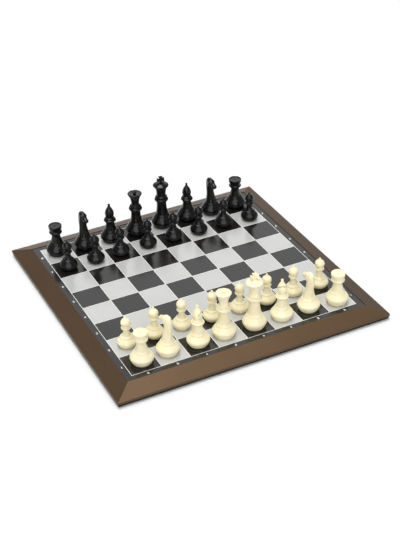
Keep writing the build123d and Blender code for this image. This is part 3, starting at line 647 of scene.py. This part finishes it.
def smoothed(points):
    """Round every corner a little, and keep only the points that the shape needs."""
    points = np.array(points)
    gaps = np.hypot(*np.diff(points, axis=0).T)
    along = np.concatenate([[0], np.cumsum(gaps)])
    even = np.linspace(0, along[-1], int(along[-1] / STEP))
    points = np.stack([np.interp(even, along, points[:, k]) for k in (0, 1)], 1)
    reach = int(3 * ROUNDING / STEP)
    weights = np.exp(-0.5 * (np.arange(-reach, reach + 1) * STEP / ROUNDING) ** 2)
    weights /= weights.sum()
    mirror = np.array([-1, 1])  # the outline carries on across the axis
    padded = np.vstack([points[reach:0:-1] * mirror, points, points[-2 : -reach - 2 : -1] * mirror])
    points = np.stack([np.convolve(padded[:, k], weights, "valid") for k in (0, 1)], 1)
    kept = [points[0]]
    heading = None
    for i in range(1, len(points) - 1):
        step = points[i + 1] - points[i]
        angle = atan2(step[1], step[0])
        heading = angle if heading is None else heading
        turn = abs((angle - heading + pi) % tau - pi)
        if turn > TURN_LIMIT or np.hypot(*(points[i] - kept[-1])) > SPAN_LIMIT:
            kept.append(points[i])
            heading = angle
    return np.array([*kept, points[-1]])


def profile(outline):
    """A whole chessman's outline from the middle of its underside to the middle of its top."""
    foot = outline[0][0] - FOOT_STEP
    cap_rows = (
        (foot - RECESS_INSET, RECESS_HEIGHT, 0),
        (foot - RING_INSET, 0.0, 0),
        (foot - FOOT_EDGE, 0.0, 0),
        (foot, FOOT_EDGE, 0.1),
    )
    points = [(0, RECESS_HEIGHT)]
    for radius, height, bulge in (*cap_rows, *outline):
        points += stretch(points[-1], (radius, height), bulge)
    return smoothed(points)


def lathe(outline, segments=SEGMENTS):
    """Points and faces of a turned shape, in millimetres about its own axis."""
    outline = profile(outline)
    angles = [tau * i / segments for i in range(segments)]
    rings = [
        [(radius * cos(a), radius * sin(a), height) for a in angles] for radius, height in outline[1:-1]
    ]
    points, faces = rings_to_mesh(rings)
    points[-2] = (0, 0, outline[0][1])
    points[-1] = (0, 0, outline[-1][1])
    return points, faces


# --- carved details ---------------------------------------------------------------------------
CROSS_Z = 86.0  # the height of its middle
CROSS_ARM = 6.2  # from the middle to an arm's end
CROSS_TIP = 3.6  # half the width of an arm's end
CROSS_ROOT = 1.33  # half the width of an arm where it leaves the middle
CROSS_THICKNESS = 4.4
CROSS_EDGE = 0.55


def cross():
    """The king's cross: four flared arms with softened edges, standing on the crown."""
    arm = ((CROSS_ROOT, -CROSS_ROOT), (CROSS_ARM, -CROSS_TIP), (CROSS_ARM, CROSS_TIP))
    outline = []
    for quarter in range(4):
        turn = Matrix.Rotation(quarter * pi / 2, 2)
        outline += [turn @ Vector(p) for p in arm]
    shape = bmesh.new()
    face = shape.faces.new([shape.verts.new((p.x, -CROSS_THICKNESS / 2, p.y)) for p in outline])
    moved = bmesh.ops.extrude_face_region(shape, geom=[face])["geom"]
    far_corners = [part for part in moved if isinstance(part, bmesh.types.BMVert)]
    bmesh.ops.translate(shape, vec=(0, CROSS_THICKNESS, 0), verts=far_corners)
    bmesh.ops.recalc_face_normals(shape, faces=shape.faces)
    bmesh.ops.bevel(
        shape, geom=list(shape.edges), offset=CROSS_EDGE, segments=3, profile=0.6, affect="EDGES"
    )
    bmesh.ops.translate(shape, vec=(0, 0, CROSS_Z), verts=shape.verts)
    mesh = bpy.data.meshes.new("cross")
    shape.to_mesh(mesh)
    shape.free()
    return mesh_arrays(mesh)


SCALLOPS = 9
SCALLOP_CIRCLE = 12.4  # from the axis to the middle of a hollow
SCALLOP_RADIUS = 2.0
SCALLOP_Z = 75.6


def scalloped(points, faces):
    """Press a ring of round hollows into the rim of the queen's coronet."""
    for i in range(SCALLOPS):
        angle = tau * i / SCALLOPS
        centre = np.array((SCALLOP_CIRCLE * cos(angle), SCALLOP_CIRCLE * sin(angle), SCALLOP_Z))
        away = points - centre
        distance = np.linalg.norm(away, axis=1)
        inside = distance < SCALLOP_RADIUS
        points[inside] = centre + away[inside] / distance[inside][:, None] * SCALLOP_RADIUS
    return points, faces


# The bishop's slit in side view, as distances in front of the axis and heights.
SLIT = ((0.8, 51.5), (9.0, 61.0), (9.0, 62.8), (0.8, 53.3))
CUTTER_REACH = 14.0  # sideways, well past the mitre


def cut_mitre(points, faces):
    """Cut the sloping slit into a bishop's mitre, open towards +X."""
    body = bpy.data.objects.new("body", mesh_from("body", points, faces))
    cutter_points = [(x, y, z) for y in (-CUTTER_REACH, CUTTER_REACH) for x, z in SLIT]
    cutter_faces = [(0, 1, 2, 3), (7, 6, 5, 4)]
    for i in range(4):
        j = (i + 1) % 4
        cutter_faces.append((i, i + 4, j + 4, j))
    cutter = bpy.data.objects.new("cutter", mesh_from("cutter", cutter_points, cutter_faces))
    for thing in (body, cutter):
        scene.collection.objects.link(thing)
    modifier = body.modifiers.new("slit", "BOOLEAN")
    modifier.object = cutter
    modifier.operation = "DIFFERENCE"
    modifier.solver = "EXACT"
    mesh = applied(body)
    bpy.data.objects.remove(cutter)
    return mesh_arrays(mesh)


# The knight faces +X here. Sections of the neck are a height, a middle, a half depth and a half
# width. Sections of the head run from the poll to the lips: the middle's distance in front of the
# axis and its height, then a half height and a half width.
NECK = (
    (20.0, 0.0, 10.0, 10.0),
    (23.0, -0.1, 9.3, 9.4),
    (28.0, -0.4, 7.7, 8.0),
    (34.0, -1.0, 6.4, 6.8),
    (40.0, -1.8, 6.0, 6.1),
    (46.0, -2.8, 6.2, 5.8),
    (52.0, -3.4, 6.4, 5.6),
    (57.5, -3.8, 6.0, 5.2),
    (61.5, -4.2, 4.6, 4.4),
    (63.6, -4.4, 2.6, 2.8),
)
HEAD = (
    (-7.0, 59.8, 3.0, 2.8),
    (-3.5, 60.0, 5.2, 4.9),
    (0.5, 58.8, 5.8, 5.6),
    (4.5, 57.2, 5.2, 5.2),
    (8.0, 55.6, 4.3, 4.4),
    (11.0, 54.6, 4.0, 4.2),
    (13.6, 54.0, 3.7, 4.2),
    (15.2, 53.7, 2.6, 3.1),
    (15.9, 53.5, 1.1, 1.5),
)
HEAD_TILT = radians(-20)

# What stands out on each side of the head: a place, three half sizes and a pitch in degrees.
CHEEK = ((0.6, 3.0, 55.0), (5.2, 3.2, 5.0), 0)
BROW = ((4.2, 3.4, 60.2), (2.9, 1.9, 1.6), 38)
EAR = ((-4.4, 2.2, 62.6), (2.4, 1.5, 1.9), -40)
NOSTRIL_WING = ((13.4, 2.8, 55.2), (1.9, 1.7, 1.6), 0)

# The mane is a row of locks down the back of the neck.
LOCKS = 10
LOCK_SIZE = (2.5, 2.4, 2.7)
LOCK_PITCH = -24
LOCK_INSET = 2.4  # from the back of the mane to the middle of a lock
MANE_TOP = 61.0
MANE_LENGTH = 32.0
MANE_BACK = -9.0
MANE_SWELL = 1.6  # how far the mane stands out behind the neck
MANE_RUN = 1.3  # the mane's length over the swell's

KNIGHT_VOXEL = 0.42


def ellipse(middle, along, across, depth, width, count=32):
    """A ring about a point, with its two half sizes."""
    angles = [tau * i / count for i in range(count)]
    return [middle + along * (depth * cos(a)) + across * (width * sin(a)) for a in angles]


def ellipsoid(middle, radii, pitch, count=20):
    """A closed egg shape, tilted in side view by a pitch in degrees."""
    turn = Matrix.Rotation(radians(pitch), 3, "Y")
    rings = []
    for row in range(1, count // 2):
        latitude = -pi / 2 + pi * row / (count // 2)
        ring = []
        for i in range(count):
            a = tau * i / count
            unit = Vector((cos(latitude) * cos(a), cos(latitude) * sin(a), sin(latitude)))
            ring.append(Vector(middle) + turn @ Vector([u * r for u, r in zip(unit, radii)]))
        rings.append(ring)
    points, faces = rings_to_mesh(rings)
    axis = turn @ Vector((0, 0, radii[2]))
    points[-2] = Vector(middle) - axis
    points[-1] = Vector(middle) + axis
    return points, faces


def knight_parts():
    """The knight's head and neck as overlapping closed shapes."""
    side = Vector((0, 1, 0))
    neck = [
        ellipse(Vector((middle, 0, height)), Vector((1, 0, 0)), side, depth, width)
        for height, middle, depth, width in NECK
    ]
    lift = Vector((-sin(HEAD_TILT), 0, cos(HEAD_TILT)))
    head = [ellipse(Vector((x, 0, z)), side, lift, width, height) for x, z, height, width in HEAD]
    parts = [rings_to_mesh(neck), rings_to_mesh(head)]
    for hand in (-1, 1):
        for (x, y, z), radii, pitch in (CHEEK, BROW, EAR, NOSTRIL_WING):
            parts.append(ellipsoid((x, hand * y, z), radii, pitch))
    for step in range(LOCKS):
        share = step / (LOCKS - 1)
        back = MANE_BACK - MANE_SWELL * sin(min(1, share * MANE_RUN) * pi)
        place = (back + LOCK_INSET, 0, MANE_TOP - MANE_LENGTH * share)
        parts.append(ellipsoid(place, LOCK_SIZE, LOCK_PITCH))
    return joined(parts)


# Dents and grooves: a point on one side of the head, the reach of the dent, and its depth.
NOSTRIL = ((14.2, 3.4, 55.0), 0.9, 0.9)
EYE = ((5.0, 4.8, 58.6), 1.0, 0.7)
JAW_LINE = ((5.8, 5.6, 52.6), 1.6, 0.8)
MOUTH = tuple(((15.4 - i * 0.9, 2.8 + i * 0.12, 52.4 - i * 0.05), 0.55, 0.6) for i in range(6))
DENT_MARGIN = 2.4  # skin that lies further inside a dent's point than this isn't pressed


def knight_head():
    """The carved head as one skin, with its eyes, nostrils and mouth pressed in."""
    thing = bpy.data.objects.new("knight", mesh_from("knight", *knight_parts()))
    scene.collection.objects.link(thing)
    remesh = thing.modifiers.new("skin", "REMESH")
    remesh.mode = "VOXEL"
    remesh.voxel_size = KNIGHT_VOXEL
    smooth = thing.modifiers.new("smooth", "SMOOTH")
    smooth.factor = 0.5
    smooth.iterations = 7
    points, faces = mesh_arrays(applied(thing))
    inward = np.sign(points[:, 1])
    for (x, y, z), reach, depth in (NOSTRIL, EYE, JAW_LINE, *MOUTH):
        away = np.linalg.norm((points - (x, 0, z)) * (1, 0, 1), axis=1)
        outside = np.abs(points[:, 1]) > y - DENT_MARGIN
        weight = np.exp(-0.5 * (away / reach) ** 2) * outside
        points[:, 1] -= inward * weight * depth
    return points, faces


# --- the set ----------------------------------------------------------------------------------
# How the men are turned on their squares, in degrees.
TURNS = {
    "white_bishop_c": -25.0,
    "white_bishop_f": -115.0,
    "black_bishop_c": 65.0,
    "black_bishop_f": 155.0,
    "white_king": -8.0,
    "black_king": -8.0,
    "white_knight_b": 99.0,
    "white_knight_g": 93.0,
    "black_knight_b": -86.0,
    "black_knight_g": -86.0,
}
SHAPES = {
    "king": joined([lathe(KING_OUTLINE), cross()]),
    "queen": scalloped(*lathe(QUEEN_OUTLINE, segments=2 * SEGMENTS)),
    "bishop": cut_mitre(*lathe(BISHOP_OUTLINE)),
    "rook": lathe(ROOK_OUTLINE),
    "pawn": lathe(PAWN_OUTLINE),
    "knight": joined([lathe(KNIGHT_OUTLINE), knight_head()]),
}


def chessman(name):
    """Stand one detailed man where its CAD body stands, and let it move with that body."""
    kind = name.split("_")[1]
    low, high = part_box(name)
    points, faces = SHAPES[kind]
    turn = radians(TURNS.get(name, 0.0))
    spin = np.array(((cos(turn), sin(turn), 0), (-sin(turn), cos(turn), 0), (0, 0, 1)))
    place = np.array(((low.x + high.x) / 2, (low.y + high.y) / 2, low.z))
    slot = "cream_men" if name.startswith("white") else "black_men"
    mesh = mesh_from(name, points @ spin * MM + place, faces)
    man = add_object(f"{name}_turned", mesh, FINISHES[slot], sharp=50)
    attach(man, name)
    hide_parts(name)


for body_name in sorted(frame["bodies"]):
    if body_name.startswith(("white_", "black_")):
        chessman(body_name)


# --- floor, light and camera ------------------------------------------------------------------
FLOOR_REACH = 6.0


def floor():
    """A plain pale studio floor."""
    corners = [(x * FLOOR_REACH, y * FLOOR_REACH, 0) for x, y in ((-1, -1), (1, -1), (1, 1), (-1, 1))]
    mesh = mesh_from("floor", corners, [(0, 1, 2, 3)])
    finish = Finish("pale_floor")
    finish.colour(finish.noise(0.4), (0.82, 0.82, 0.82), (0.84, 0.84, 0.84))
    finish.rough(finish.noise(0.05), 0.7, 0.8)
    thing = add_object("studio_floor", mesh, finish.material)


def sun(name, direction, energy, spread):
    """Even light that comes from a direction, softened by its spread in degrees."""
    light = bpy.data.lights.new(name, "SUN")
    light.energy = energy
    light.angle = radians(spread)
    thing = bpy.data.objects.new(name, light)
    thing.rotation_euler = Vector(direction).to_track_quat("Z", "Y").to_euler()
    scene.collection.objects.link(thing)


def screen(name, place, width, height, power):
    """A pale rectangle of light that faces the middle of the board."""
    light = bpy.data.lights.new(name, "AREA")
    light.shape = "RECTANGLE"
    light.size = width
    light.size_y = height
    light.energy = power
    thing = bpy.data.objects.new(name, light)
    scene.collection.objects.link(thing)
    thing.location = place
    thing.rotation_euler = (-Vector(place)).to_track_quat("-Z", "Y").to_euler()


floor()

# an overhead tent of light, a broad fill from the front, and a pale screen behind the board that its
# gloss reflects
sun("overhead", (-0.05, 0.12, 1), 1.9, 34)
sun("front", (-0.35, -0.75, 0.6), 1.4, 60)
screen("rear_screen", (0.95, 2.0, 1.35), 2.2, 1.3, 8.2)

world = bpy.data.worlds.new("studio")
world.use_nodes = True
scene.world = world
background = world.node_tree.nodes["Background"]
background.inputs["Color"].default_value = (1, 1, 1, 1)
background.inputs["Strength"].default_value = 0.38

scene.view_settings.view_transform = "Standard"

# the photograph's camera, worked out from where the board's corners and squares lie in the picture
LENS = 81.381
CAMERA_PLACE = (-0.66448, -1.41960, 1.06237)
CAMERA_ANGLES = (56.7651, 1.3495, -26.4327)
camera_data = bpy.data.cameras.new("camera")
camera_data.sensor_width = 36.0
camera_data.lens = LENS
camera = bpy.data.objects.new("camera", camera_data)
camera.location = CAMERA_PLACE
camera.rotation_euler = [radians(angle) for angle in CAMERA_ANGLES]
scene.collection.objects.link(camera)
scene.camera = camera
